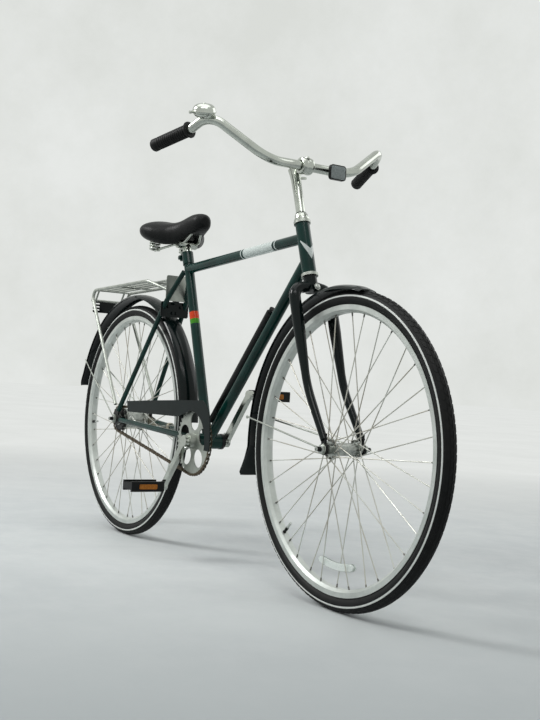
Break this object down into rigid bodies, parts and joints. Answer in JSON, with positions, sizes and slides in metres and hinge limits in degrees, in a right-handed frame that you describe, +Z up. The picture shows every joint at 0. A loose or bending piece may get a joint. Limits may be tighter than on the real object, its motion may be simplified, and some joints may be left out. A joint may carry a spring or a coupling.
{
  "type": "roadster bicycle",
  "caption": "Diamond-frame roadster bicycle with steering fork, spoked wheels, cranks and pedals, one-sided chain guard, mudguards, rear carrier and padded saddle.",
  "frame": {"origin": "where the rider sits, on top of the saddle in the plane of symmetry", "axes": "+X ahead, +Y to the rider's left, +Z up"},
  "size_m": [1.8027, 0.632, 1.1152],
  "materials": {
    "green_paint": "gloss",
    "black_paint": "gloss",
    "guard_paint": "satin",
    "chrome": "polished",
    "rim_steel": "matte",
    "spoke_steel": "satin",
    "zinc_steel": "satin",
    "tyre": "matte",
    "saddle_cover": "satin",
    "grip_rubber": "matte",
    "pump_plastic": "matte",
    "pedal_plastic": "matte",
    "chain_steel": "satin",
    "reflector_grey": "gloss",
    "reflector_amber": "gloss",
    "clip_steel": "satin"
  },
  "bodies": {
    "frame": {"head_tube": "green_paint", "top_tube": "green_paint", "down_tube": "green_paint", "seat_tube": "green_paint", "bottom_bracket_shell": "green_paint", "bracket_cups": "black_paint", "chain_stays": "green_paint", "seat_stays": "green_paint", "rear_dropouts": "black_paint", "rear_axle": "zinc_steel", "headset_cups": "chrome", "seat_post": "chrome", "saddle": "saddle_cover", "saddle_rails": "chrome", "seat_lug": "green_paint", "chain": "chain_steel", "chain_guard": "guard_paint", "brake_arm": "clip_steel", "rear_mudguard": "black_paint", "rear_guard_stays": "spoke_steel", "rack_frame": "spoke_steel", "rack_bracket": "black_paint", "pump": "pump_plastic"},
    "steering": {"fork_steerer": "black_paint", "fork_blades": "black_paint", "fork_dropouts": "black_paint", "front_axle": "zinc_steel", "headset_locknut": "chrome", "stem": "chrome", "handlebar": "chrome", "grips": "grip_rubber", "bell": "chrome", "front_reflector": "reflector_grey", "front_mudguard": "black_paint", "front_flap": "black_paint", "front_guard_stays": "spoke_steel", "crown_bracket": "black_paint"},
    "front_wheel": {"front_tyre": "tyre", "front_rim": "rim_steel", "front_spokes": "spoke_steel", "front_hub": "zinc_steel"},
    "rear_wheel": {"rear_tyre": "tyre", "rear_rim": "rim_steel", "rear_spokes": "spoke_steel", "rear_hub": "zinc_steel", "rear_sprocket": "zinc_steel"},
    "crankset": {"crank_spindle": "zinc_steel", "crank_right": "chrome", "crank_left": "chrome", "chainring": "chrome", "pedal_axle_right": "zinc_steel", "pedal_axle_left": "zinc_steel"},
    "pedal_right_body": {"pedal_right": "pedal_plastic", "pedal_right_reflectors": "reflector_amber"},
    "pedal_left_body": {"pedal_left": "pedal_plastic", "pedal_left_reflectors": "reflector_amber"}
  },
  "joints": [
    {"name": "steering_turn", "type": "hinge", "parent": "frame", "child": "steering", "pos_m": [0.65343, 0, -0.154], "axis": [-0.3256, 0, 0.9455], "range_deg": [-60, 60]},
    {"name": "front_wheel_spin", "type": "hinge", "parent": "steering", "child": "front_wheel", "pos_m": [0.833, 0, -0.576], "axis": [0, 1, 0], "continuous": true},
    {"name": "rear_wheel_spin", "type": "hinge", "parent": "frame", "child": "rear_wheel", "pos_m": [-0.25, 0, -0.576], "axis": [0, 1, 0], "continuous": true},
    {"name": "crank_spin", "type": "hinge", "parent": "frame", "child": "crankset", "pos_m": [0.23, 0, -0.606], "axis": [0, 1, 0], "continuous": true},
    {"name": "pedal_right_spin", "type": "hinge", "parent": "crankset", "child": "pedal_right_body", "pos_m": [0.12073, -0.12, -0.73623], "axis": [0, 1, 0], "continuous": true},
    {"name": "pedal_left_spin", "type": "hinge", "parent": "crankset", "child": "pedal_left_body", "pos_m": [0.33927, 0.12, -0.47577], "axis": [0, 1, 0], "continuous": true}
  ]
}
